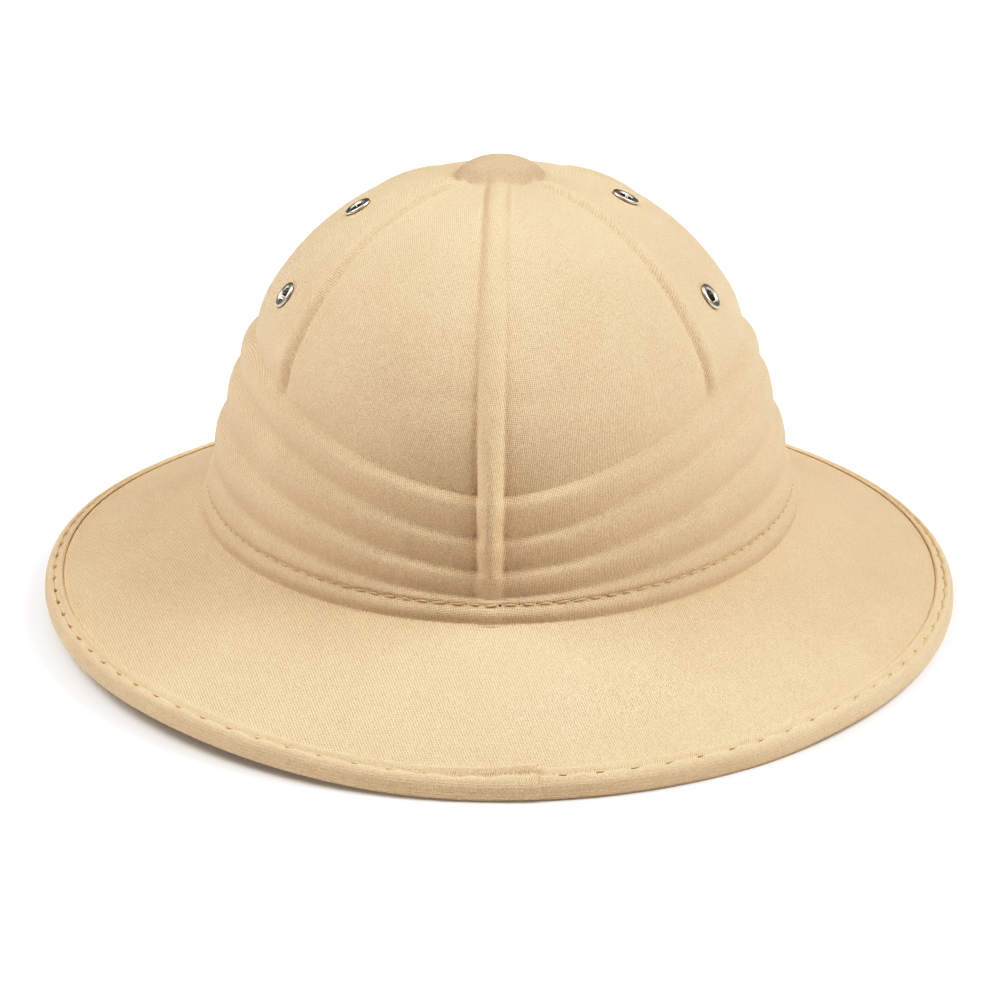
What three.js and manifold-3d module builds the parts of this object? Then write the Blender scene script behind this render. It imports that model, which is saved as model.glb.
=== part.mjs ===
// Pith helmet: a moulded crown sewn over the collar of a sloping brim,
// with a folded tape round the brim's edge and four metal vent eyelets.
// Millimetres. +Z is up, the front is towards -Y, and z = 0 is the surface that it rests on.

import * as THREE from 'three';
import { mergeVertices } from 'three/addons/utils/BufferGeometryUtils.js';
import Module from 'manifold-3d';

const wasm = await Module();
wasm.setup();

// ---- driving dimensions ----

const dome = {
  base: 34.4,          // height where the plain dome form starts
  rise: 98.9,          // from there to the dome's top
  halfWidth: 89.2,
  halfLength: 104.8,
  planPower: 2.29,     // how full the dome's shoulder is
  risePower: 2.01,
  egg: 0.045,          // the front is a little narrower than the back
};
const crownWall = 2.8;
const button = { radius: 17, capRadius: 25, top: 138.6, rows: [1, 0.75, 0.5, 0.25] };

// The folds round the crown, from the sewn lower edge up.
// front and side: heights at the centre front and at the sides.
// out: how far the surface stands out from the plain dome.
const foldLines = [
  { name: 'hem', front: 29.3, side: 28.0, out: 6.0 },
  { name: 'stitches', front: 33.7, side: 34.2, out: 4.6 },
  { name: 'beadEdge', front: 34.3, side: 38.5, out: 4.1 },
  { name: 'beadNotch', front: 34.9, side: 42.9, out: 2.5 },
  { name: 'collarTop', front: 38.4, side: 50.0, out: 2.4 },
  { name: 'lowEdge', front: 40.5, side: 53.0, out: 2.2 },
  { name: 'lowNotch', front: 42.2, side: 57.0, out: 0.3 },
  { name: 'midEdge', front: 49.1, side: 68.0, out: 0.7 },
  { name: 'midNotch', front: 51.5, side: 72.5, out: -0.8 },
  { name: 'topEdge', front: 60.3, side: 79.5, out: 0.6 },
  { name: 'topNotch', front: 62.8, side: 83.5, out: -0.8 },
];
const foldSweep = 1.5;   // power of the sine that carries a fold up from front to side
const innerFolds = ['hem', 'stitches', 'beadNotch', 'collarTop', 'lowNotch', 'midNotch', 'topNotch'];
const outerDomeRows = [0.14, 0.28, 0.43, 0.58, 0.72, 0.86, 1];   // share of the way up to the button
const innerDomeRows = [0.25, 0.5, 0.75, 1];
const domeEnd = 79;      // where the dome's rows stop, as an angle up from its base

// Ribs from the button down the dome. turn is the angle from the front. The middle ribs
// run on over the folds, where their crest keeps one distance out from the plain dome.
const ribs = [
  { turn: -0.6, halfWidth: 4.4, height: 2.2, overFolds: 3.2 },
  { turn: 57, halfWidth: 2.6, height: 1.4 },
  { turn: 123, halfWidth: 2.6, height: 1.4 },
  { turn: 180, halfWidth: 4.4, height: 2.2, overFolds: 3.2 },
  { turn: 237, halfWidth: 2.6, height: 1.4 },
  { turn: 303, halfWidth: 2.6, height: 1.4 },
];
const ribFoot = 0.4;   // least height of a middle rib where it meets the bead
const ribAcross = [-1, -0.5, 0.5, 1];   // columns across a rib, in half widths
const panelColumns = 7;                 // columns between two ribs

const gap = 0.3;        // clearance between sewn pieces
const brim = {
  halfWidth: 145,       // over the binding
  halfLength: 166.2,
  wall: 3,
  edgeTop: 4.2,         // height of the brim's top face at its edge
  bow: 0.18,            // steeper by the crown, flatter by the edge
  collarWall: 2.4,
  rows: [0.25, 0.5, 0.72],
};
// The brim's edge rests at the front and the back and stands clear of the surface at the sides.
// Each row: turn from the front on that side, and the height that the edge is lifted.
const liftKnots = {
  right: [
    { turn: 0, lift: 0 }, { turn: 30, lift: 0 }, { turn: 45, lift: 1.1 },
    { turn: 90, lift: 1.3 }, { turn: 135, lift: 0 }, { turn: 180, lift: 0 },
  ],
  left: [
    { turn: 0, lift: 0 }, { turn: 45, lift: 4.5 }, { turn: 90, lift: 5.1 },
    { turn: 135, lift: 1.2 }, { turn: 166, lift: 0 }, { turn: 180, lift: 0 },
  ],
};
const binding = { wall: 0.8, flap: 9, stitchLine: 6.5, sunk: 0.15, roll: 3.7, fullness: 0.4 };

// The tape's roll round the brim's edge, from its top to the flat strip that it rests on.
// inset is measured in from the outermost edge.
const rollSection = [
  { inset: 1.4, z: 5.3 },
  { inset: 0.3, z: 4.3 },
  { inset: 0, z: 2.7 },
  { inset: 0.3, z: 1 },
  { inset: 1.3, z: 0 },
  { inset: binding.roll, z: 0 },
];

const eyelet = {
  flange: 4.3,
  hole: 2.4,
  barrel: 2.9,
  plate: 0.7,
  rounding: 0.4,
  outerRoom: 0.5,   // between the flanges and the curved wall
  innerRoom: 0.9,
  segments: 24,
};
const ventDrill = { length: 16, segments: 16 };
const eyeletPlaces = [
  { name: 'eyelet_left_lower', turn: -72.5, height: 100.5 },
  { name: 'eyelet_left_upper', turn: -85.4, height: 123.0 },
  { name: 'eyelet_right_lower', turn: 71.6, height: 101.0 },
  { name: 'eyelet_right_upper', turn: 88.6, height: 125.7 },
];

const cloth = { beige: 0xead3ab, tape: 0xd8bc8c, nickel: 0xc9c6bd };

// ---- the dome and the lines round it ----

const rad = THREE.MathUtils.degToRad;
const mix = THREE.MathUtils.lerp;

// Half width and half length of the plain dome at a height.
function halfAxes(z) {
  const q = THREE.MathUtils.clamp((z - dome.base) / dome.rise, 0, 1);
  const sine = q ** (dome.risePower / 2);
  const fullness = Math.sqrt(Math.max(0, 1 - sine * sine)) ** (2 / dome.planPower);
  return [dome.halfWidth * fullness, dome.halfLength * fullness];
}

// A point on an egg-shaped ring. turn is in degrees from the front, towards +X.
function ringPoint(turn, halfWidth, halfLength, z, egg = dome.egg) {
  const t = rad(turn);
  const x = halfWidth * Math.sin(t) * (1 - egg * Math.cos(t));
  return new THREE.Vector3(x, -halfLength * Math.cos(t), z);
}

function foldHeight(line, turn) {
  return line.front + (line.side - line.front) * Math.abs(Math.sin(rad(turn))) ** foldSweep;
}

const foldLine = (name) => foldLines.find((line) => line.name === name);

function foldPoint(line, turn, inset = 0) {
  const z = foldHeight(line, turn);
  const [a, b] = halfAxes(z);
  return ringPoint(turn, a + line.out - inset, b + line.out - inset, z);
}

// A point on the plain dome, share of the way round it from the top fold to the button.
function domePoint(turn, share) {
  const notch = (foldHeight(foldLine('topNotch'), turn) - dome.base) / dome.rise;
  const angle = mix(Math.asin(notch ** (dome.risePower / 2)), rad(domeEnd), share);
  const z = dome.base + dome.rise * Math.sin(angle) ** (2 / dome.risePower);
  return ringPoint(turn, ...halfAxes(z), z);
}

function domeNormal(turn, z) {
  const nearby = (dTurn, dz) => ringPoint(turn + dTurn, ...halfAxes(z + dz), z + dz);
  const step = 0.2;
  const along = nearby(step, 0).sub(nearby(-step, 0));
  const up = nearby(0, step).sub(nearby(0, -step));
  return along.cross(up).normalize();
}

// ---- columns: closer together across each rib, whose width stays the same in millimetres ----

function columnTurns(radius) {
  const turns = [];
  ribs.forEach((rib, i) => {
    const next = ribs[(i + 1) % ribs.length];
    const reach = THREE.MathUtils.radToDeg(rib.halfWidth / radius);
    const nextReach = THREE.MathUtils.radToDeg(next.halfWidth / radius);
    ribAcross.forEach((across) => turns.push(rib.turn + across * reach));
    const start = rib.turn + reach;
    const end = (i + 1 < ribs.length ? next.turn : next.turn + 360) - nextReach;
    for (let k = 1; k <= panelColumns; k += 1) {
      turns.push(mix(start, end, k / (panelColumns + 1)));
    }
  });
  return turns;
}

const perRib = ribAcross.length + panelColumns;
const columns = perRib * ribs.length;

// How far a column stands up as part of a rib: 1 on its crest, 0 beside it.
function ribRise(column) {
  const across = column % perRib;
  if (across >= ribAcross.length) return 0;
  return Math.abs(ribAcross[across]) < 1 ? ribs[Math.floor(column / perRib)].height : 0;
}

// ---- rings of points joined into closed solids ----

// Each ring has one point for each column. ends: 'poles' closes the first and last ring
// with a point in the middle, 'loop' joins the last ring back to the first.
function solidFromRings(rings, ends) {
  const positions = rings.flat().flatMap((p) => [p.x, p.y, p.z]);
  const index = [];
  const at = (ring, column) => ring * columns + (column % columns);
  const last = ends === 'loop' ? rings.length : rings.length - 1;
  for (let r = 0; r < last; r += 1) {
    const next = (r + 1) % rings.length;
    for (let c = 0; c < columns; c += 1) {
      index.push(at(r, c), at(r, c + 1), at(next, c + 1));
      index.push(at(r, c), at(next, c + 1), at(next, c));
    }
  }
  if (ends === 'poles') {
    [[0, true], [rings.length - 1, false]].forEach(([ring, first]) => {
      const middle = positions.length / 3;
      positions.push(0, 0, rings[ring][0].z);
      for (let c = 0; c < columns; c += 1) {
        const pair = first ? [at(ring, c + 1), at(ring, c)] : [at(ring, c), at(ring, c + 1)];
        index.push(middle, ...pair);
      }
    });
  }
  const geometry = new THREE.BufferGeometry();
  geometry.setAttribute('position', new THREE.Float32BufferAttribute(positions, 3));
  geometry.setIndex(index);
  return geometry;
}

const mergeDistance = 1e-4;

function toManifold(geometry) {
  const plain = geometry.clone();
  plain.deleteAttribute('normal');
  plain.deleteAttribute('uv');
  const merged = mergeVertices(plain, mergeDistance);
  return new wasm.Manifold(new wasm.Mesh({
    numProp: 3,
    vertProperties: new Float32Array(merged.attributes.position.array),
    triVerts: new Uint32Array(merged.index.array),
  }));
}

function fromManifold(solid) {
  const mesh = solid.getMesh();
  const geometry = new THREE.BufferGeometry();
  geometry.setAttribute('position', new THREE.BufferAttribute(new Float32Array(mesh.vertProperties), 3));
  geometry.setIndex(new THREE.BufferAttribute(new Uint32Array(mesh.triVerts), 1));
  return geometry;
}

// ---- the crown ----

const seamTurns = columnTurns(dome.halfLength);

// A ring of the crown's outer face along a fold.
function outerFoldRing(line) {
  return seamTurns.map((turn, column) => {
    const { overFolds } = ribs[Math.floor(column / perRib)];
    const onCrest = overFolds && ribRise(column) > 0 && line.name !== 'hem';
    const proud = onCrest ? Math.max(overFolds - line.out, ribFoot) : 0;
    return foldPoint(line, turn, -proud);
  });
}

// A row's rough radius, which sets how far apart its columns lie across a rib.
const rowRadius = (share) => mix(dome.halfLength, button.radius, share ** 2);

function outerDomeRing(share) {
  return columnTurns(rowRadius(share)).map((turn, column) => {
    const point = domePoint(turn, share);
    return point.addScaledVector(domeNormal(turn, point.z), ribRise(column));
  });
}

// The low round button: a cap of a ball, whose foot meets the dome.
function buttonRings() {
  return button.rows.map((share) => columnTurns(rowRadius(1)).map((turn) => {
    const radius = button.radius * share;
    const drop = button.capRadius - Math.sqrt(button.capRadius ** 2 - radius ** 2);
    return ringPoint(turn, radius, radius, button.top - drop, 0);
  }));
}

function innerDomeRing(share) {
  return columnTurns(rowRadius(share)).map((turn) => {
    const point = domePoint(turn, share);
    return point.addScaledVector(domeNormal(turn, point.z), -crownWall);
  });
}

function crownShell() {
  const outer = [
    ...foldLines.map(outerFoldRing),
    ...outerDomeRows.map(outerDomeRing),
    ...buttonRings(),
  ];
  const inner = [
    ...innerFolds.map((name) => seamTurns.map((turn) => foldPoint(foldLine(name), turn, crownWall))),
    ...innerDomeRows.map(innerDomeRing),
  ];
  return solidFromRings([...inner.reverse(), ...outer], 'poles');
}

// ---- the eyelets ----

function eyeletPose(place) {
  const [a, b] = halfAxes(place.height);
  const pose = new THREE.Object3D();
  pose.position.copy(ringPoint(place.turn, a, b, place.height));
  const normal = domeNormal(place.turn, place.height);
  pose.quaternion.setFromUnitVectors(new THREE.Vector3(0, 1, 0), normal);
  pose.updateMatrix();
  return pose;
}

// A tube with a flat flange on each face of the wall, turned about its own axis.
function eyeletGeometry() {
  const outside = eyelet.outerRoom;
  const inside = -crownWall - eyelet.innerRoom;
  const profile = [
    [eyelet.hole, inside - eyelet.plate],
    [eyelet.flange, inside - eyelet.plate],
    [eyelet.flange, inside],
    [eyelet.barrel, inside],
    [eyelet.barrel, outside],
    [eyelet.flange, outside],
    [eyelet.flange - eyelet.rounding, outside + eyelet.plate],
    [eyelet.hole, outside + eyelet.plate],
    [eyelet.hole, inside - eyelet.plate],
  ].map(([r, h]) => new THREE.Vector2(r, h));
  return new THREE.LatheGeometry(profile, eyelet.segments);
}

function ventHole(place) {
  const pose = eyeletPose(place);
  const radius = eyelet.barrel + gap;
  const drill = new THREE.CylinderGeometry(radius, radius, ventDrill.length, ventDrill.segments);
  return toManifold(drill.applyMatrix4(pose.matrix));
}

function crownGeometry() {
  let solid = toManifold(crownShell());
  eyeletPlaces.forEach((place) => { solid = solid.subtract(ventHole(place)); });
  return fromManifold(solid);
}

// ---- the brim ----

// How far the edge stands off the surface that the helmet rests on.
function edgeLift(turn) {
  const offset = THREE.MathUtils.euclideanModulo(turn + 180, 360) - 180;
  const knots = offset > 0 ? liftKnots.right : liftKnots.left;
  const after = knots.findIndex((knot) => knot.turn >= Math.abs(offset));
  const low = knots[Math.max(after - 1, 0)];
  const high = knots[Math.max(after, 1)];
  return mix(low.lift, high.lift, THREE.MathUtils.smoothstep(Math.abs(offset), low.turn, high.turn));
}

const brimSpan = brim.halfWidth - dome.halfWidth - foldLine('hem').out;
const edgeInset = binding.wall + gap;

// A point on the brim's top face, or below it. share runs from the crown's hem to the edge.
function brimPoint(turn, share, below = 0) {
  const hem = foldLine('hem');
  const z0 = foldHeight(hem, turn) - gap;
  const z1 = brim.edgeTop + edgeLift(turn);
  const fall = share + brim.bow * share * (1 - share);
  const a = mix(dome.halfWidth + hem.out, brim.halfWidth, share);
  const b = mix(dome.halfLength + hem.out, brim.halfLength, share);
  return ringPoint(turn, a, b, mix(z0, z1, fall) - below, dome.egg * (1 - share));
}

const shareAt = (inset) => 1 - inset / brimSpan;   // inset is measured in from the edge

function brimGeometry() {
  const ring = (at) => seamTurns.map(at);
  const collarInset = crownWall + gap;
  const collar = (name, extra = 0) => (turn) => foldPoint(foldLine(name), turn, collarInset + extra);
  const hemLedge = (turn) => collar('hem')(turn).setZ(brimPoint(turn, 0).z);
  const shares = [...brim.rows, shareAt(binding.flap), shareAt(binding.roll), shareAt(edgeInset)];
  const topFace = [0, ...shares].map((share) => ring((turn) => brimPoint(turn, share)));
  const under = [...shares].reverse().map((share) => ring((turn) => brimPoint(turn, share, brim.wall)));
  const throat = (turn) => collar('hem', brim.collarWall)(turn).setZ(brimPoint(turn, 0).z);
  return solidFromRings([
    ring(collar('collarTop', brim.collarWall)),
    ring(collar('collarTop')),
    ring(collar('beadNotch')),
    ring(collar('stitches')),
    ring(hemLedge),
    ...topFace,
    ...under,
    ring((turn) => brimPoint(turn, 0, brim.wall)),
    ring(throat),
    ring(collar('stitches', brim.collarWall)),
  ].reverse(), 'loop');
}

// ---- the folded tape round the edge ----

function bindingGeometry() {
  const ring = (at) => seamTurns.map(at);
  const onTop = (inset, above) => ring((turn) => brimPoint(turn, shareAt(inset), -above));
  const beneath = (inset, below) => ring((turn) => brimPoint(turn, shareAt(inset), brim.wall + below));
  const onRoll = ({ inset, z }) => ring((turn) => brimPoint(turn, shareAt(inset)).setZ(z + edgeLift(turn)));
  const cover = gap + binding.wall;
  return solidFromRings([
    onTop(binding.flap, gap),
    onTop(binding.flap, cover),
    onTop(binding.stitchLine, cover - binding.sunk),
    onTop(binding.roll, cover + binding.fullness),
    ...rollSection.map(onRoll),
    beneath(binding.flap, cover),
    beneath(binding.flap, gap),
    beneath(binding.roll, gap),
    beneath(binding.wall, gap),
    onTop(binding.wall, gap),
    onTop(binding.roll, gap),
  ].reverse(), 'loop');
}

// ---- the helmet ----

function clothMaterial(color) {
  return new THREE.MeshStandardMaterial({ color, roughness: 0.9, metalness: 0 });
}

function piece(name, geometry, material) {
  const mesh = new THREE.Mesh(geometry, material);
  mesh.name = name;
  return mesh;
}

const helmet = new THREE.Group();
helmet.add(piece('crown', crownGeometry(), clothMaterial(cloth.beige)));
helmet.add(piece('brim', brimGeometry(), clothMaterial(cloth.beige)));
helmet.add(piece('brim_binding', bindingGeometry(), clothMaterial(cloth.tape)));
eyeletPlaces.forEach((place) => {
  const nickel = new THREE.MeshStandardMaterial({ color: cloth.nickel, roughness: 0.25, metalness: 1 });
  const ring = piece(place.name, eyeletGeometry(), nickel);
  const pose = eyeletPose(place);
  ring.position.copy(pose.position);
  ring.quaternion.copy(pose.quaternion);
  helmet.add(ring);
});

export default helmet;
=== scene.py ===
import math

import bmesh
import bpy
from mathutils import Matrix, Vector, noise


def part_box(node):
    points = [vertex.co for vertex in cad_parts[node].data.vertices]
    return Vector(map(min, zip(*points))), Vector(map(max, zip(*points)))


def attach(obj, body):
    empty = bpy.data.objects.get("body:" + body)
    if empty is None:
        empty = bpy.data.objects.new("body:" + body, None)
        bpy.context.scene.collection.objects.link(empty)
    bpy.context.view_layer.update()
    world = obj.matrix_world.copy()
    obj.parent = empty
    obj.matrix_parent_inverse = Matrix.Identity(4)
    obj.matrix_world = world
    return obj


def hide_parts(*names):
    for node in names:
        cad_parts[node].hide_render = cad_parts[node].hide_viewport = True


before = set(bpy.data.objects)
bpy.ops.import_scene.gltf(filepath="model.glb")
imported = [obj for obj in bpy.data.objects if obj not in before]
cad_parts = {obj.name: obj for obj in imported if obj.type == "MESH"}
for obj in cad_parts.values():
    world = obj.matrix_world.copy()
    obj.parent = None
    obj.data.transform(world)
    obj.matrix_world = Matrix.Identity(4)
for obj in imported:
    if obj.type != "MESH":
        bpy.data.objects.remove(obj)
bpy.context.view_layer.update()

mm = 0.001

# Camera.

view = {
    "distance": 868 * mm,
    "turn": 1.07,         # degrees, to the right of the front
    "elevation": 20.05,   # degrees
    "aim": Vector((0, 0, 25.7 * mm)),
    "lens": 97.1,
}


def makeCamera():
    turn, elevation = math.radians(view["turn"]), math.radians(view["elevation"])
    flat = math.cos(elevation)
    back = Vector((math.sin(turn) * flat, -math.cos(turn) * flat, math.sin(elevation)))
    data = bpy.data.cameras.new("camera")
    data.lens = view["lens"]
    data.sensor_width = 36
    camera = bpy.data.objects.new("camera", data)
    camera.location = view["aim"] + back * view["distance"]
    camera.rotation_euler = (-back).to_track_quat("-Z", "Y").to_euler()
    bpy.context.scene.collection.objects.link(camera)
    bpy.context.scene.camera = camera


makeCamera()
print("camera set")

# The helmet's form: the same dimensions as its construction.

dome = {
    "base": 34.4 * mm,
    "rise": 98.9 * mm,
    "halfWidth": 89.2 * mm,
    "halfLength": 104.8 * mm,
    "planPower": 2.29,
    "risePower": 2.01,
    "egg": 0.045,          # the front is a little narrower than the back
}

# Lines round the crown from the sewn hem up. front and side are heights,
# out is how far the cloth stands out from the plain dome, and bulge is how far
# the stretch above a line swells in its middle.
foldLines = [
    {"name": "foot", "front": 28.4, "side": 27.1, "out": 6.9, "bulge": 0.0},
    {"name": "hem", "front": 29.1, "side": 27.8, "out": 6.0, "bulge": 0.95},
    {"name": "stitches", "front": 33.7, "side": 34.2, "out": 4.4, "bulge": 0.15},
    {"name": "beadEdge", "front": 34.5, "side": 38.5, "out": 3.9, "bulge": 0.35},
    {"name": "beadNotch", "front": 35.3, "side": 42.9, "out": 1.7, "bulge": 0.55},
    {"name": "lowEdge", "front": 40.5, "side": 53.0, "out": 2.1, "bulge": 0.65},
    {"name": "lowNotch", "front": 42.2, "side": 57.0, "out": -0.9, "bulge": 0.6},
    {"name": "midEdge", "front": 49.1, "side": 68.0, "out": 0.6, "bulge": 0.65},
    {"name": "midNotch", "front": 51.0, "side": 72.5, "out": -2.0, "bulge": 0.6},
    {"name": "topEdge", "front": 60.2, "side": 79.5, "out": 0.4, "bulge": 0.65},
    {"name": "topNotch", "front": 62.6, "side": 83.5, "out": -2.4, "bulge": 0.0},
]
foldSweep = 1.5            # power of the sine that carries a fold up from front to side
foldCount = {"rows": 7, "smoothing": 2}

# turn is in degrees from the front, end is the radius where a rib dies away by the button, left and
# right are the depths of the grooves along its flanks. A rib with overFolds runs on to the seam.
ribs = [
    {"turn": -0.6, "halfWidth": 4.7, "height": 1.9, "overFolds": 3.4, "left": 0.55, "right": 0.2, "end": 12},
    {"turn": 57, "halfWidth": 3.3, "height": 1.6, "overFolds": 0, "left": 0.55, "right": 0, "end": 14},
    {"turn": 128, "halfWidth": 3.0, "height": 1.0, "overFolds": 0, "left": 0.2, "right": 0.2, "end": 24},
    {"turn": 180, "halfWidth": 4.7, "height": 1.6, "overFolds": 3.2, "left": 0.4, "right": 0.4, "end": 16},
    {"turn": 232, "halfWidth": 3.0, "height": 0.7, "overFolds": 0, "left": 0.2, "right": 0.2, "end": 24},
    {"turn": 303, "halfWidth": 3.3, "height": 1.6, "overFolds": 0, "left": 0, "right": 0.6, "end": 14},
]
# Lengths in mm, as in the table above.
ribShape = {
    "reach": 3.0,          # how far the finer columns go on past a rib's flank
    "columns": 20,
    "panelColumns": 38,
    "roundness": 2.0,
    "grooveOffset": 0.4,
    "grooveWidth": 1.1,
    "grooveFrom": 35,      # radii between which a side rib's groove deepens
    "grooveTo": 80,
    "foot": 0.55,          # least height of a middle rib over the folds
    "start": 0.12,         # share over which a side rib rises from its lower end
    "fade": 6,
}

button = {
    "radius": 14 * mm,
    "top": 138.6 * mm,
    "shoulder": 0.72,
    "crease": 0.35 * mm,
    "creaseWidth": 1.3 * mm,
}

crown = {
    "wall": 2.8 * mm,
    "domeRows": 62,
    "seamPitch": 5 * mm,
    "seamDepth": 0.5 * mm,
    "seamWidth": 0.9 * mm,
    "drawnIn": 0.14,          # share of the dome over which the panels are drawn in to the top fold
    "ribSettle": 0.3,         # share over which the ribs reach their own height
    "creaseHeight": 88 * mm,  # of the faint crease across the front
    "creaseDepth": 0.3 * mm,
    "creaseWidth": 2.2 * mm,
    "creaseTurn": 40,         # degrees from the front over which it fades
}


def lerp(a, b, share):
    return a + (b - a) * share


def clamp(value, low=0.0, high=1.0):
    return max(low, min(high, value))


def smoothStep(low, high, value):
    share = clamp((value - low) / (high - low))
    return share * share * (3 - 2 * share)


def bellCurve(distance, width):
    return math.exp(-((distance / width) ** 2))


def halfAxes(z):
    share = clamp((z - dome["base"]) / dome["rise"])
    sine = share ** (dome["risePower"] / 2)
    fullness = math.sqrt(max(0.0, 1 - sine * sine)) ** (2 / dome["planPower"])
    return dome["halfWidth"] * fullness, dome["halfLength"] * fullness


# A point on an egg-shaped ring. turn is in degrees from the front, towards +X.
def ringPoint(turn, halfWidth, halfLength, z, egg=None):
    egg = dome["egg"] if egg is None else egg
    t = math.radians(turn)
    x = halfWidth * math.sin(t) * (1 - egg * math.cos(t))
    return Vector((x, -halfLength * math.cos(t), z))


def sweepUp(front, side, turn):
    return (front + (side - front) * abs(math.sin(math.radians(turn))) ** foldSweep) * mm


def foldLine(name):
    return next(line for line in foldLines if line["name"] == name)


# The fold lines with rows between them, rounded at the corners: front, side and out.
def foldProfile():
    rows = []
    for low, high in zip(foldLines, foldLines[1:]):
        for k in range(foldCount["rows"]):
            share = k / foldCount["rows"]
            row = [lerp(low[key], high[key], share) for key in ("front", "side", "out")]
            row[2] += low["bulge"] * math.sin(math.pi * share)
            rows.append(row)
    rows.append([foldLines[-1][key] for key in ("front", "side", "out")])
    for _ in range(foldCount["smoothing"]):
        before = [row[:] for row in rows]
        for i in range(1, len(rows) - 1):
            rows[i] = [(before[i - 1][k] + 2 * before[i][k] + before[i + 1][k]) / 4 for k in range(3)]
    return rows


foldRows = foldProfile()


# Angles of the crown's columns at a radius: close together across each rib, even over a panel.
def columnTurns(radius):
    turns = []
    for i, rib in enumerate(ribs):
        following = ribs[(i + 1) % len(ribs)]
        reach = math.degrees((rib["halfWidth"] + ribShape["reach"]) * mm / radius)
        nextReach = math.degrees((following["halfWidth"] + ribShape["reach"]) * mm / radius)
        for k in range(ribShape["columns"]):
            turns.append(rib["turn"] + reach * (2 * k / (ribShape["columns"] - 1) - 1))
        start = rib["turn"] + reach
        end = following["turn"] + (360 if i + 1 == len(ribs) else 0) - nextReach
        for k in range(ribShape["panelColumns"]):
            turns.append(lerp(start, end, (k + 1) / (ribShape["panelColumns"] + 1)))
    turns.append(turns[0] + 360)
    return turns


columnCount = len(ribs) * (ribShape["columns"] + ribShape["panelColumns"])


# Height of the nearest rib over the cloth beside it, in metres, with the groove along its flank.
# out is how far that cloth stands off the plain dome, in mm, and above runs from 0 over the folds to 1.
def ribHeight(turn, radius, out, above):
    height = 0.0
    for rib in ribs:
        offset = (turn - rib["turn"] + 180) % 360 - 180
        across = abs(math.radians(offset)) * radius / mm
        if across > rib["halfWidth"] + ribShape["reach"]:
            continue
        groove = rib["left"] if offset < 0 else rib["right"]
        if rib["overFolds"]:
            crest = max(lerp(rib["overFolds"], rib["height"], above) - out, ribShape["foot"])
            groove *= crest / rib["overFolds"]
        else:
            start = smoothStep(0, ribShape["start"], above)
            crest = rib["height"] * start
            groove *= start * smoothStep(ribShape["grooveFrom"], ribShape["grooveTo"], radius / mm)
        profile = max(0.0, 1 - (across / rib["halfWidth"]) ** ribShape["roundness"])
        dip = bellCurve(across - rib["halfWidth"] - ribShape["grooveOffset"], ribShape["grooveWidth"])
        fade = smoothStep(rib["end"], rib["end"] + ribShape["fade"], radius / mm)
        height += (crest * profile - groove * dip) * fade * mm
    return height


def domeNormal(turn, z):
    step = 0.2 * mm
    high = min(z + step, dome["base"] + dome["rise"] - 0.01 * mm)
    low = high - 2 * step
    along = ringPoint(turn + 0.2, *halfAxes(z), z) - ringPoint(turn - 0.2, *halfAxes(z), z)
    up = ringPoint(turn, *halfAxes(high), high) - ringPoint(turn, *halfAxes(low), low)
    return along.cross(up).normalized()


def planRadius(point):
    return math.hypot(point.x, point.y)


# A point of the crown's cloth on a row of the folds.
def foldCloth(row, turn):
    front, side, out = row
    z = sweepUp(front, side, turn)
    a, b = halfAxes(z)
    point = ringPoint(turn, a + out * mm, b + out * mm, z)
    lift = ribHeight(turn, planRadius(point), out, 0)
    seam = foldLine("stitches")
    gapToSeam = z - sweepUp(seam["front"], seam["side"], turn)
    lift -= crown["seamDepth"] * bellCurve(gapToSeam, crown["seamWidth"])
    outward = Vector((point.x, point.y, 0)).normalized()
    return point + outward * lift


# A point of the crown's cloth on the dome, share of the way from the top fold to the middle.
def domeCloth(share, turn):
    notch = foldLines[-1]
    low = sweepUp(notch["front"], notch["side"], turn)
    lowSine = ((low - dome["base"]) / dome["rise"]) ** (dome["risePower"] / 2)
    angle = lerp(math.asin(lowSine), math.pi / 2, share)
    z = dome["base"] + dome["rise"] * math.sin(angle) ** (2 / dome["risePower"])
    point = ringPoint(turn, *halfAxes(z), z)
    normal = domeNormal(turn, z)
    drawn = notch["out"] * (1 - min(1, share / crown["drawnIn"])) ** 2
    point += normal * drawn * mm
    crease = bellCurve(z - crown["creaseHeight"], crown["creaseWidth"])
    across = abs((turn + 180) % 360 - 180)
    point -= normal * crown["creaseDepth"] * crease * smoothStep(crown["creaseTurn"], 0, across)
    radius = planRadius(point)
    lift = ribHeight(turn, radius, drawn, min(1, share / crown["ribSettle"]))
    if radius < button["radius"]:
        rise = button["top"] - dome["base"] - dome["rise"]
        point.z += rise * (1 - (radius / button["radius"]) ** 2) ** button["shoulder"]
    point.z -= button["crease"] * bellCurve(radius - button["radius"], button["creaseWidth"])
    return point + normal * lift


def newObject(name, bm):
    mesh = bpy.data.meshes.new(name)
    bm.to_mesh(mesh)
    bm.free()
    piece = bpy.data.objects.new(name, mesh)
    bpy.context.scene.collection.objects.link(piece)
    for polygon in mesh.polygons:
        polygon.use_smooth = True
    return piece


# A sheet of squares whose points are moved to place(column, row), its edges then joined where they meet.
# sheetUv(column, row, point) gives the cloth's own coordinates in metres.
def clothSheet(columns, rows, place, sheetUv=None):
    bm = bmesh.new()
    bmesh.ops.create_grid(bm, x_segments=columns, y_segments=rows, size=1)
    spots = {}
    for vertex in bm.verts:
        column = round((vertex.co.x + 1) / 2 * columns)
        row = round((vertex.co.y + 1) / 2 * rows)
        spots[vertex] = (column, row)
    if sheetUv:
        layer = bm.loops.layers.uv.new("cloth")
    for vertex, (column, row) in spots.items():
        vertex.co = place(column, row)
    if sheetUv:
        for face in bm.faces:
            for loop in face.loops:
                loop[layer].uv = sheetUv(*spots[loop.vert], loop.vert.co)
    bmesh.ops.remove_doubles(bm, verts=bm.verts, dist=0.01 * mm)
    bmesh.ops.recalc_face_normals(bm, faces=bm.faces)
    return bm


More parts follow.
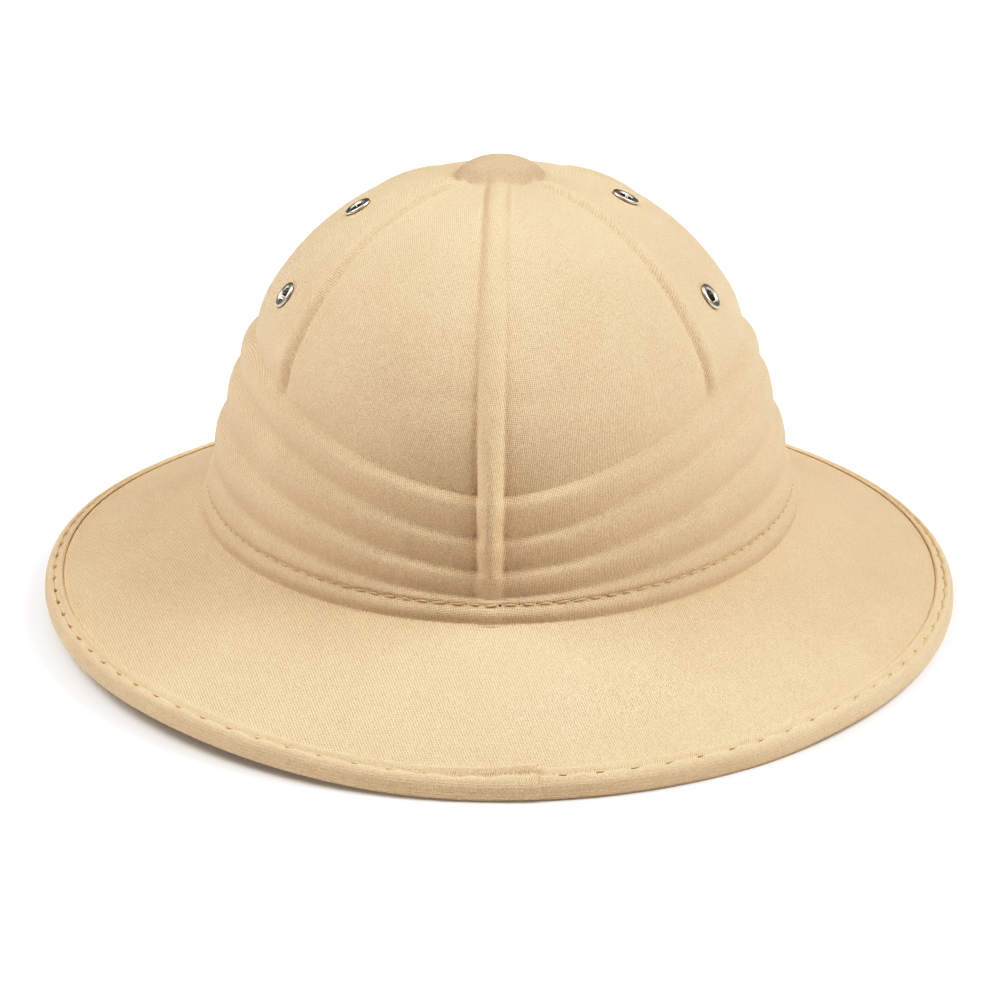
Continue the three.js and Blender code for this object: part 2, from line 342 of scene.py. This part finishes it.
# Eyelets' places, needed for the crown's holes.

eyelet = {
    "flange": 4.35 * mm,
    "hole": 2.45 * mm,
    "barrel": 2.8 * mm,
    "crest": 0.85 * mm,
    "sink": 0.35 * mm,
    "segments": 40,
    "lip": 0.35,           # of the crest, where the roll turns down into the tube
    "edge": 0.25,          # of the crest, at the roll's two sides
    "roll": 0.8,           # power of the sine that rounds it
    "rollSteps": 8,
    "under": 0.25 * mm,    # of the flange below the cloth's face
    "behind": 0.5 * mm,    # of the washer behind the wall
    "washer": 0.4 * mm,
    "cuts": 3,             # of the cloth's squares about it
    "clear": 3.0 * mm,     # the crown's hole
    "reach": 6.5 * mm,     # how far the cloth is drawn about it
}
eyeletPlaces = {
    "eyelet_left_lower": (-72.5, 100.5 * mm),
    "eyelet_left_upper": (-85.4, 123.0 * mm),
    "eyelet_right_lower": (71.6, 101.0 * mm),
    "eyelet_right_upper": (88.6, 125.7 * mm),
}


def eyeletSeat(name):
    turn, z = eyeletPlaces[name]
    return ringPoint(turn, *halfAxes(z), z), domeNormal(turn, z)


# Crown.

def makeCrown():
    turnsAt = {}
    domeRows = crown["domeRows"]
    rowCount = len(foldRows) - 1 + domeRows

    def place(column, row):
        if row < len(foldRows):
            key = "folds"
            if key not in turnsAt:
                turnsAt[key] = columnTurns(dome["halfLength"])
            return foldCloth(foldRows[row], turnsAt[key][column])
        share = (row - len(foldRows) + 1) / domeRows
        if share == 1:
            return Vector((0, 0, button["top"]))
        if row not in turnsAt:
            turnsAt[row] = columnTurns(lerp(dome["halfLength"], button["radius"], share ** 2))
        return domeCloth(share, turnsAt[row][column])

    # The cloth is stretched over the form from its middle, so its grain runs straight over the top.
    def grain(column, row, point):
        flat = Vector((point.x, point.y, 0))
        steep = math.acos(clamp((point.z - dome["base"]) / (button["top"] - dome["base"]), 0, 1))
        length = steep * dome["halfLength"] + max(0, dome["base"] - point.z)
        direction = flat.normalized() if flat.length > 0 else Vector()
        return (direction.x * length, direction.y * length)

    bm = clothSheet(columnCount, rowCount, place, grain)
    openVents(bm)
    piece = newObject("crownCloth", bm)
    wall = piece.modifiers.new("wall", "SOLIDIFY")
    wall.thickness = crown["wall"]
    wall.offset = -1
    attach(piece, "root")
    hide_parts("crown")
    return piece


# Makes the cloth finer about each eyelet, cuts a round hole in it and presses it in a little.
def openVents(bm):
    for name in eyeletPlaces:
        seat, normal = eyeletSeat(name)
        near = [e for e in bm.edges if all((v.co - seat).length < eyelet["reach"] for v in e.verts)]
        bmesh.ops.subdivide_edges(bm, edges=near, cuts=eyelet["cuts"], use_grid_fill=True)
        cut = [f for f in bm.faces if (f.calc_center_median() - seat).length < eyelet["clear"]]
        bmesh.ops.delete(bm, geom=cut, context="FACES")
        for vertex in bm.verts:
            offset = vertex.co - seat
            if offset.length > eyelet["reach"] * 2:
                continue
            level = offset.dot(normal)
            aside = offset - normal * level
            if vertex.is_boundary and aside.length < eyelet["reach"]:
                vertex.co = seat + aside.normalized() * eyelet["clear"] + normal * level
            vertex.co -= normal * eyelet["sink"] * bellCurve(aside.length, eyelet["reach"])


crownPiece = makeCrown()
print("crown made", len(crownPiece.data.polygons), "faces")

# Brim.

brim = {
    "halfWidth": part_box("brim_binding")[1].x,
    "halfLength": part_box("brim_binding")[1].y,
    "wall": 3 * mm,
    "edgeTop": 4.2 * mm,
    "bow": 0.18,
    "columns": 360,
    "inset": 1.1 * mm,      # of the foam's edge inside the tape
    "sink": 0.1 * mm,       # of its face below the crown's hem
    "calm": 0.25,           # share at each side where the unevenness dies away
    "wave": 0.35 * mm,      # slow unevenness of the pressed cloth
    "waveLength": 55 * mm,
    "collarGap": 3.1 * mm,  # from the crown's face to the collar's face
    "collarWall": 2.4 * mm,
    "collarFront": 2,       # mm from the collar's top down from the lowest fold, at the front and sides
    "collarSide": 3,
    "collarOut": 2.4 * mm,  # of the crown's face in front of the collar's top, from the plain dome
    "collarLean": 1.6,      # how soon the collar draws in to it
    "collarRows": 6,
    "faceRows": 26,
}


# How high the brim's edge stands off the table, by degrees from the front on each side.
liftKnots = {
    "right": [(0, 0), (30, 0), (45, 1.1), (90, 1.3), (135, 0), (180, 0)],
    "left": [(0, 0), (45, 4.5), (90, 5.1), (135, 1.2), (166, 0), (180, 0)],
}


def edgeLift(turn):
    offset = (turn + 180) % 360 - 180
    knots = liftKnots["right" if offset > 0 else "left"]
    for (low, lowLift), (high, highLift) in zip(knots, knots[1:]):
        if abs(offset) <= high:
            return lerp(lowLift, highLift, smoothStep(low, high, abs(offset))) * mm
    return 0.0


# share runs from the crown's hem to the edge. below is measured down from the top face.
def brimPoint(turn, share, below=0.0):
    hem = foldLine("hem")
    inner = sweepUp(hem["front"], hem["side"], turn) - brim["sink"]
    outer = brim["edgeTop"] + edgeLift(turn)
    fall = share + brim["bow"] * share * (1 - share)
    a = lerp(dome["halfWidth"] + hem["out"] * mm, brim["halfWidth"], share)
    b = lerp(dome["halfLength"] + hem["out"] * mm, brim["halfLength"], share)
    point = ringPoint(turn, a, b, lerp(inner, outer, fall) - below, dome["egg"] * (1 - share))
    calm = smoothStep(0, brim["calm"], share) * smoothStep(1, 1 - brim["calm"], share)
    point.z += noise.noise(point.xy.to_3d() / brim["waveLength"]) * brim["wave"] * calm
    return point


brimSpan = brim["halfWidth"] - dome["halfWidth"] - foldLine("hem")["out"] * mm


def shareAt(inset):
    return 1 - inset / brimSpan


# The collar stands up inside the crown's lower edge. height runs from 0 at the brim to 1.
def collarPoint(turn, height, deep):
    hem, top = foldLine("hem"), foldLine("lowEdge")
    front = lerp(hem["front"], top["front"] - brim["collarFront"], height)
    side = lerp(hem["side"], top["side"] - brim["collarSide"], height)
    z = sweepUp(front, side, turn)
    a, b = halfAxes(z)
    share = min(1, height * brim["collarLean"])
    out = lerp(hem["out"] * mm, brim["collarOut"], share) - brim["collarGap"] - deep
    return ringPoint(turn, a + out, b + out, z)


def makeBrim():
    collarRows, faceRows = brim["collarRows"], brim["faceRows"]
    last = shareAt(brim["inset"])
    stations = []
    for k in range(collarRows + 1):
        stations.append(lambda turn, h=1 - k / collarRows: collarPoint(turn, h, 0))
    for k in range(faceRows + 1):
        stations.append(lambda turn, s=last * k / faceRows: brimPoint(turn, s))
    for k in range(faceRows + 1):
        stations.append(lambda turn, s=last * (1 - k / faceRows): brimPoint(turn, s, brim["wall"]))
    for k in range(collarRows + 1):
        stations.append(lambda turn, h=k / collarRows: collarPoint(turn, h, brim["collarWall"]))
    stations.append(stations[0])
    columns = brim["columns"]
    bm = clothSheet(columns, len(stations) - 1, lambda c, r: stations[r](360 * c / columns))
    piece = newObject("brimCloth", bm)
    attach(piece, "root")
    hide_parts("brim")
    return piece


brimPiece = makeBrim()
print("brim made", len(brimPiece.data.polygons), "faces")

# The folded tape round the edge.

binding = {
    "columns": 960,
    "pitch": 10 * mm,         # of the stitches
    "lapTurn": 5.4,           # where the tape's end laps over its start
    "lapRise": 0.6 * mm,
    "lapLength": 16 * mm,
    "gape": 0.9 * mm,         # how far the flap stands off the brim just before the lap
    "gapeLength": 46 * mm,
    "flapInset": 4.2,         # mm from the edge, past which the tape is the loose flap
    "stitchInset": 3.4,
    "stitchRise": 0.3 * mm,   # of the thread over the brim's face, in the groove
    "pull": 0.55 * mm,        # how far a stitch draws the roll down, and in
    "pucker": 0.5 * mm,
    "wobble": 0.1 * mm,
    "wobbleLength": 14 * mm,
}

# The tape's section: inset from the outermost edge, and height over the brim's top face ("above"),
# under its bottom face ("under") or over the surface it rests on ("z").
bindingSection = [
    {"inset": 5.6, "above": 0.08},
    {"inset": 5.75, "above": 0.40},
    {"inset": 5.5, "above": 0.75},
    {"inset": 5.0, "above": 0.90},
    {"inset": 4.4, "above": 0.92},
    {"inset": 3.9, "above": 0.78},
    {"inset": 3.5, "above": 0.42, "sewn": 1},
    {"inset": 3.2, "above": 0.55, "sewn": 1},
    {"inset": 2.9, "above": 0.95, "sewn": 0.6},
    {"inset": 2.4, "above": 1.25, "sewn": 0.3},
    {"inset": 1.8, "above": 1.25},
    {"inset": 1.2, "z": 5.45},
    {"inset": 0.7, "z": 5.0},
    {"inset": 0.3, "z": 4.3},
    {"inset": 0.08, "z": 3.5},
    {"inset": 0.0, "z": 2.7},
    {"inset": 0.08, "z": 1.9},
    {"inset": 0.3, "z": 1.1},
    {"inset": 0.65, "z": 0.45},
    {"inset": 1.1, "z": 0.08},
    {"inset": 1.6, "z": 0.0},
    {"inset": 2.8, "z": 0.0},
    {"inset": 3.4, "z": 0.25},
    {"inset": 4.6, "under": 0.95},
    {"inset": 5.6, "under": 0.75},
    {"inset": 5.7, "under": 0.3},
    {"inset": 5.3, "under": 0.1},
    {"inset": 3.0, "under": 0.1},
    {"inset": 1.0, "under": 0.1},
    {"inset": 1.0, "above": 0.05},
    {"inset": 3.0, "above": 0.05},
    {"inset": 5.2, "above": 0.05},
]


def edgeArc(turn):
    t = math.radians(turn)
    a, b = brim["halfWidth"], brim["halfLength"]
    return t * (a + b) / 2 + (a - b) / 4 * math.sin(2 * t)


def makeBinding():
    columns = binding["columns"]
    stitchCount = round(edgeArc(360) / binding["pitch"])
    sections = bindingSection + bindingSection[:1]

    def place(column, row):
        turn = binding["lapTurn"] + 360 * column / columns
        spot = sections[row]
        arc = edgeArc(turn) / edgeArc(360) * stitchCount
        beat = 0.5 + 0.5 * math.cos(2 * math.pi * arc)
        inset = spot["inset"] * mm
        sewn = spot.get("sewn", 0)
        inset -= sewn * binding["pucker"] * beat ** 2
        walked = edgeArc(turn) / binding["wobbleLength"]
        wobble = noise.noise(Vector((walked, spot["inset"], 0))) * binding["wobble"]
        point = brimPoint(turn, shareAt(inset))
        past = edgeArc(turn) - edgeArc(binding["lapTurn"])
        short = edgeArc(360) - past
        over = binding["lapRise"] * smoothStep(binding["lapLength"], 0, short)
        if "above" in spot:
            lift = spot["above"] * mm - sewn * binding["pull"] * beat ** 3 + over
            if spot["inset"] > binding["flapInset"]:
                lift += binding["gape"] * smoothStep(binding["gapeLength"], 0, short)
            point.z += lift + (wobble if spot["above"] > 0.3 else 0)
        elif "under" in spot:
            point.z -= brim["wall"] + spot["under"] * mm
        else:
            point.z = spot["z"] * mm + edgeLift(turn)
            if spot["z"] > 1:
                point += Vector((point.x, point.y, 0)).normalized() * (wobble + over * 0.6)
        return point

    widths = [0.0]
    for a, b in zip(sections, sections[1:]):
        rise = abs(b["z"] - a["z"]) if "z" in a and "z" in b else 0
        widths.append(widths[-1] + abs(b["inset"] - a["inset"]) + rise)

    def tapeUv(column, row, point):
        return (edgeArc(360) * column / columns, widths[row] * mm)

    bm = clothSheet(columns, len(sections) - 1, place, tapeUv)
    bmesh.ops.holes_fill(bm, edges=[edge for edge in bm.edges if edge.is_boundary], sides=0)
    piece = newObject("bindingTape", bm)
    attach(piece, "root")
    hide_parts("brim_binding")
    return piece


bindingPiece = makeBinding()
print("binding made", len(bindingPiece.data.polygons), "faces")

# Eyelets.

# A pressed ring: a rounded flange outside, a tube through the wall and a flat washer inside.
def makeEyelet(name):
    seat, normal = eyeletSeat(name)
    hole, flange, barrel = eyelet["hole"], eyelet["flange"], eyelet["barrel"]
    crest = eyelet["crest"]
    inside = -crown["wall"] - eyelet["behind"]
    back = inside - eyelet["washer"]
    under = -eyelet["under"]
    middle, width = (hole + flange) / 2, (flange - hole) / 2
    profile = [(barrel, inside), (flange, inside), (flange, back), (hole, back),
               (hole, crest * eyelet["lip"])]
    for k in range(eyelet["rollSteps"] + 1):
        angle = math.pi * (1 - k / eyelet["rollSteps"])
        swell = math.sin(angle) ** eyelet["roll"]
        profile.append((middle + width * math.cos(angle), crest * lerp(eyelet["edge"], 1, swell)))
    profile += [(flange, 0.0), (flange + under * 1.2, under), (barrel, under)]
    bm = bmesh.new()
    points = [bm.verts.new((radius, 0, height)) for radius, height in profile]
    loop = points + points[:1]
    edges = [bm.edges.new(pair) for pair in zip(loop, loop[1:])]
    bmesh.ops.spin(bm, geom=points + edges, cent=(0, 0, 0), axis=(0, 0, 1), angle=2 * math.pi,
                   steps=eyelet["segments"], use_merge=True)
    bmesh.ops.remove_doubles(bm, verts=bm.verts, dist=0.001 * mm)
    bmesh.ops.recalc_face_normals(bm, faces=bm.faces)
    turned = normal.to_track_quat("Z", "Y").to_matrix().to_4x4()
    bmesh.ops.transform(bm, matrix=Matrix.Translation(seat) @ turned, verts=bm.verts)
    piece = newObject(name.replace("eyelet", "eyeletRing"), bm)
    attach(piece, "root")
    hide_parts(name)
    return piece


eyeletPieces = [makeEyelet(name) for name in eyeletPlaces]
print("eyelets made")

# Threads.

thread = {
    "radius": 0.34 * mm,
    "length": 3.4 * mm,
    "tapeLength": 2.5 * mm,
    "proud": 0.3 * mm,
    "walk": 2880,             # steps in which a seam is measured
    "unevenLength": 0.3,      # share by which a stitch's length varies
    "unevenLie": 0.2,         # radians by which it lies askew
    # Size of the dark discs painted as shade in the needle holes.
    "holeRadius": 0.32 * mm,
    "holeDepth": 0.1 * mm,
}


def seamSpot(turn, lift=0.0):
    seam = foldLine("stitches")
    row = (seam["front"], seam["side"], seam["out"])
    point = foldCloth(row, turn)
    outward = Vector((point.x, point.y, 0.35 * planRadius(point))).normalized()
    return point + outward * lift, outward


def tapeSpot(turn, lift=0.0):
    point = brimPoint(turn, shareAt(binding["stitchInset"] * mm))
    ahead = brimPoint(turn, shareAt((binding["stitchInset"] - 1) * mm))
    outward = Vector((point.x, point.y, 0)).normalized()
    slope = (point.z - ahead.z) / mm
    up = (outward * slope + Vector((0, 0, 1))).normalized()
    return point + up * (binding["stitchRise"] + lift), up


# Turns at which the stitches of a seam lie, an even step apart along it.
def evenTurns(spotAt, pitch):
    turns, walked = [], 0.0
    last = spotAt(0)[0]
    for k in range(thread["walk"]):
        turn = 360 * (k + 1) / thread["walk"]
        point = spotAt(turn)[0]
        walked += (point - last).length
        last = point
        if walked >= pitch:
            walked -= pitch
            turns.append(turn)
    return turns


# A row of short threads along a seam, each slightly uneven in length and lie. Where asked, it also places a
# dark flat disc between each pair of threads as painted shade for the needle hole.
def sewSeam(name, pitch, spotAt, length, shadeHoles):
    threads, holes = bmesh.new(), bmesh.new()
    flat = Matrix.Diagonal((thread["holeRadius"], thread["holeRadius"], thread["holeDepth"], 1))
    for k, turn in enumerate(evenTurns(spotAt, pitch)):
        uneven = noise.noise(Vector((k * 1.7, 0.5, 0)))
        here, outward = spotAt(turn, thread["proud"])
        ahead, _ = spotAt(turn + 0.5, thread["proud"])
        along = (ahead - here).normalized()
        across = outward.cross(along)
        half = length / 2 * (1 + thread["unevenLength"] * uneven)
        axes = Matrix((along, across, outward)).transposed().to_4x4()
        tilt = Matrix.Rotation(thread["unevenLie"] * uneven, 4, "Z")
        size = Matrix.Diagonal((half, thread["radius"], thread["radius"], 1))
        bmesh.ops.create_uvsphere(threads, u_segments=8, v_segments=6, radius=1,
                                  matrix=Matrix.Translation(here) @ axes @ tilt @ size)
        # A flat dark disc on the cloth's face: painted shade standing in for a needle hole.
        if shadeHoles:
            facing = outward.to_track_quat("Z", "Y").to_matrix().to_4x4()
            spot = here + along * (pitch / 2) - outward * thread["proud"]
            bmesh.ops.create_uvsphere(holes, u_segments=8, v_segments=4, radius=1,
                                      matrix=Matrix.Translation(spot) @ facing @ flat)
    made = []
    for kind, bm in (("Thread", threads), ("NeedleHoleShade", holes)):
        if not bm.verts:
            continue
        piece = newObject(name + kind, bm)
        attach(piece, "root")
        made.append(piece)
    return made


threadPiece, holeShadePiece = sewSeam("crown", crown["seamPitch"], seamSpot,
                                  thread["length"], True)
tapeThreadPiece, = sewSeam("tape", binding["pitch"], tapeSpot,
                           thread["tapeLength"], False)
print("stitches made")

# Materials.

def startMaterial(name):
    material = bpy.data.materials.new(name)
    material.use_nodes = True
    nodes = material.node_tree.nodes
    shader = nodes["Principled BSDF"]
    return material, nodes, material.node_tree.links, shader


def mathNode(nodes, links, operation, first, second=None):
    node = nodes.new("ShaderNodeMath")
    node.operation = operation
    for socket, value in zip(node.inputs, (first, second)):
        if value is None:
            continue
        if isinstance(value, (int, float)):
            socket.default_value = value
        else:
            links.new(value, socket)
    return node.outputs[0]


# Fine knit: upright ribs of loops, each loop leaning towards the middle of its rib.
# x and y are flat coordinates in metres, wale and course the spacing along them.
def knitHeight(nodes, links, x, y, settings):
    def step(operation, first, second=None):
        return mathNode(nodes, links, operation, first, second)

    across = step("MULTIPLY", x, math.pi / settings["wale"])
    lean = step("MULTIPLY", y, settings["slant"] * math.pi / settings["wale"])
    rib = step("ABSOLUTE", step("SINE", step("ADD", across, lean)))
    along = step("MULTIPLY", y, 2 * math.pi / settings["course"])
    bent = step("ADD", along, step("MULTIPLY", rib, settings["bend"]))
    loop = step("ADD", step("MULTIPLY", step("SINE", bent), 0.5), 0.5)
    relief = step("ADD", step("MULTIPLY", loop, settings["loopShare"]), 1 - settings["loopShare"])
    return step("MULTIPLY", rib, relief)


def clothMaterial(name, settings):
    material, nodes, links, shader = startMaterial(name)
    place = nodes.new("ShaderNodeTexCoord")
    source = place.outputs["Object"]
    if settings.get("uv"):
        uv = nodes.new("ShaderNodeUVMap")
        uv.uv_map = "cloth"
        source = uv.outputs["UV"]
    split = nodes.new("ShaderNodeSeparateXYZ")
    links.new(source, split.inputs[0])
    knit = knitHeight(nodes, links, split.outputs[0], split.outputs[1], settings)

    blotch = nodes.new("ShaderNodeTexNoise")
    blotch.inputs["Scale"].default_value = settings["blotchScale"]
    blotch.inputs["Detail"].default_value = 3
    links.new(place.outputs["Object"], blotch.inputs["Vector"])
    fluff = nodes.new("ShaderNodeTexNoise")
    fluff.inputs["Scale"].default_value = settings["fluffScale"]
    fluff.inputs["Detail"].default_value = 2
    links.new(place.outputs["Object"], fluff.inputs["Vector"])

    base = nodes.new("ShaderNodeMix")
    base.data_type = "RGBA"
    base.inputs["A"].default_value = (*settings["dark"], 1)
    base.inputs["B"].default_value = (*settings["light"], 1)
    # The knit's height also sets the colour: its grooves take the darker colour, which is painted shade. The
    # blotch and fluff noise add the cloth's own random tone and fine grain.
    grooveShadeAndTone = mathNode(nodes, links, "MULTIPLY", knit, settings["paintedKnitShade"])
    grooveShadeAndTone = mathNode(nodes, links, "ADD", grooveShadeAndTone, mathNode(nodes, links, "MULTIPLY", blotch.outputs["Fac"],
                                                          settings["blotchShade"]))
    grooveShadeAndTone = mathNode(nodes, links, "ADD", grooveShadeAndTone, mathNode(nodes, links, "MULTIPLY", fluff.outputs["Fac"],
                                                          settings["fluffShade"]))
    links.new(grooveShadeAndTone, base.inputs["Factor"])
    links.new(base.outputs["Result"], shader.inputs["Base Color"])
    shader.inputs["Roughness"].default_value = settings["roughness"]
    shader.inputs["Specular IOR Level"].default_value = settings["specular"]
    shader.inputs["Sheen Weight"].default_value = settings["sheen"]
    shader.inputs["Sheen Roughness"].default_value = 0.5

    fuzz = mathNode(nodes, links, "MULTIPLY", fluff.outputs["Fac"], settings["fuzz"])
    height = mathNode(nodes, links, "ADD", knit, fuzz)
    bump = nodes.new("ShaderNodeBump")
    bump.inputs["Strength"].default_value = settings["bump"]
    bump.inputs["Distance"].default_value = settings["bumpDepth"]
    links.new(height, bump.inputs["Height"])
    links.new(bump.outputs["Normal"], shader.inputs["Normal"])
    return material


# dark is the colour in the knit's grooves, where it is painted shade as well as the cloth's darker random
# tone; light is the colour of the loops' tops.
knitCloth = {
    "dark": (0.46, 0.325, 0.19),
    "light": (0.97, 0.77, 0.55),
    "wale": 0.72 * mm,
    "course": 0.6 * mm,
    "slant": 0.25,
    "bend": 2.6,           # how far a loop's sides lean, in radians of its course
    "loopShare": 0.6,
    "uv": True,
    "paintedKnitShade": 0.5,
    "blotchScale": 30,
    "blotchShade": 0.22,
    "fluffScale": 1700,
    "fluffShade": 0.7,
    "roughness": 0.62,
    "specular": 0.4,
    "sheen": 0.1,
    "fuzz": 0.8,
    "bump": 0.9,
    "bumpDepth": 0.2 * mm,
}
brimKnit = {**knitCloth, "uv": False, "wale": 0.76 * mm, "slant": 0.35}
tapeTwill = {**knitCloth, "wale": 0.7 * mm, "course": 1.1 * mm, "slant": 0.9, "paintedKnitShade": 0.45,
             "dark": (0.55, 0.40, 0.24), "light": (0.96, 0.77, 0.55)}


def metalMaterial():
    material, nodes, links, shader = startMaterial("nickelPlate")
    place = nodes.new("ShaderNodeTexCoord")
    wear = nodes.new("ShaderNodeTexNoise")
    wear.inputs["Scale"].default_value = 900
    links.new(place.outputs["Object"], wear.inputs["Vector"])
    tone = nodes.new("ShaderNodeMix")
    tone.data_type = "RGBA"
    tone.inputs["A"].default_value = (0.55, 0.50, 0.42, 1)
    tone.inputs["B"].default_value = (0.80, 0.77, 0.70, 1)
    links.new(wear.outputs["Fac"], tone.inputs["Factor"])
    links.new(tone.outputs["Result"], shader.inputs["Base Color"])
    shader.inputs["Metallic"].default_value = 1
    uneven = mathNode(nodes, links, "MULTIPLY", wear.outputs["Fac"], 0.2)
    links.new(mathNode(nodes, links, "ADD", uneven, 0.3), shader.inputs["Roughness"])
    return material


def plainThread(name, color):
    material, nodes, links, shader = startMaterial(name)
    place = nodes.new("ShaderNodeTexCoord")
    grain = nodes.new("ShaderNodeTexNoise")
    grain.inputs["Scale"].default_value = 3000
    links.new(place.outputs["Object"], grain.inputs["Vector"])
    tone = nodes.new("ShaderNodeMix")
    tone.data_type = "RGBA"
    tone.inputs["A"].default_value = (*[c * 0.7 for c in color], 1)
    tone.inputs["B"].default_value = (*color, 1)
    links.new(grain.outputs["Fac"], tone.inputs["Factor"])
    links.new(tone.outputs["Result"], shader.inputs["Base Color"])
    shader.inputs["Roughness"].default_value = 0.8
    return material


def dress(pieces, material):
    for piece in pieces:
        piece.data.materials.clear()
        piece.data.materials.append(material)


dress([crownPiece], clothMaterial("crownKnit", knitCloth))
dress([brimPiece], clothMaterial("brimKnit", brimKnit))
dress([bindingPiece], clothMaterial("edgeTwill", tapeTwill))
dress(eyeletPieces, metalMaterial())
dress([threadPiece, tapeThreadPiece], plainThread("seamThread", (0.86, 0.66, 0.42)))
# Near-black brown on the needle-hole discs: painted shade.
dress([holeShadePiece], plainThread("needleShade", (0.13, 0.07, 0.03)))
print("materials made")

# Floor and light.

studio = {
    "floorHalf": 3.0,
    "floorColor": (0.95, 0.95, 0.95),
    "glowFrom": 0.3,       # the floor away from the lamps is lifted to the same white
    "glowTo": 1.0,
    "glowNear": 0.1,
    "glow": 0.8,
    "world": 0.03,
}
lamps = [
    {"name": "leftHigh", "at": (-1.1, 0, 1.2), "aim": (0, 0, 0.05), "size": 0.9, "power": 14.8},
    {"name": "rightHigh", "at": (1.1, 0, 1.2), "aim": (0, 0, 0.05), "size": 0.9, "power": 17},
    {"name": "above", "at": (0, 0, 1.6), "aim": (0, 0, 0.05), "size": 1.6, "power": 8.4},
    {"name": "frontHigh", "at": (0, -0.8, 1.4), "aim": (0, 0, 0.05), "size": 1.2, "power": 1.7},
    {"name": "rightFront", "at": (1.2, -1.1, 0.6), "aim": (0, 0, 0.05), "size": 0.9, "power": 1},
]


def makeFloor():
    bm = bmesh.new()
    bmesh.ops.create_grid(bm, x_segments=1, y_segments=1, size=studio["floorHalf"])
    floor = newObject("floor", bm)
    material, nodes, links, shader = startMaterial("paleFloor")
    shader.inputs["Base Color"].default_value = (*studio["floorColor"], 1)
    shader.inputs["Roughness"].default_value = 0.9
    shader.inputs["Specular IOR Level"].default_value = 0.1
    place = nodes.new("ShaderNodeTexCoord")
    length = nodes.new("ShaderNodeVectorMath")
    length.operation = "LENGTH"
    links.new(place.outputs["Object"], length.inputs[0])
    reach = nodes.new("ShaderNodeMapRange")
    reach.interpolation_type = "SMOOTHSTEP"
    reach.inputs["From Min"].default_value = studio["glowFrom"]
    reach.inputs["From Max"].default_value = studio["glowTo"]
    reach.inputs["To Min"].default_value = studio["glowNear"]
    reach.inputs["To Max"].default_value = studio["glow"]
    links.new(length.outputs["Value"], reach.inputs["Value"])
    shader.inputs["Emission Color"].default_value = (1, 1, 1, 1)
    links.new(reach.outputs["Result"], shader.inputs["Emission Strength"])
    floor.data.materials.append(material)


# A mild film-like curve on the picture: deeper shades, brighter tops.
toneCurve = [(0, 0), (0.2, 0.125), (0.33, 0.27), (0.5, 0.5), (0.62, 0.67), (0.8, 0.87), (1, 1)]


def setTone():
    look = bpy.context.scene.view_settings
    look.view_transform = "Standard"
    look.use_curve_mapping = True
    curve = look.curve_mapping.curves[3]
    for x, y in toneCurve[1:-1]:
        curve.points.new(x, y)
    look.curve_mapping.update()


def makeLamp(settings):
    data = bpy.data.lights.new(settings["name"], "AREA")
    data.shape = "SQUARE"
    data.size = settings["size"]
    data.energy = settings["power"]
    lamp = bpy.data.objects.new(settings["name"], data)
    lamp.location = settings["at"]
    direction = Vector(settings["aim"]) - Vector(settings["at"])
    lamp.rotation_euler = direction.to_track_quat("-Z", "Y").to_euler()
    bpy.context.scene.collection.objects.link(lamp)


def makeWorld():
    world = bpy.data.worlds.new("studio")
    world.use_nodes = True
    back = world.node_tree.nodes["Background"]
    back.inputs["Color"].default_value = (1, 1, 1, 1)
    back.inputs["Strength"].default_value = studio["world"]
    bpy.context.scene.world = world


makeFloor()
makeWorld()
for settings in lamps:
    makeLamp(settings)
setTone()
print("studio made")
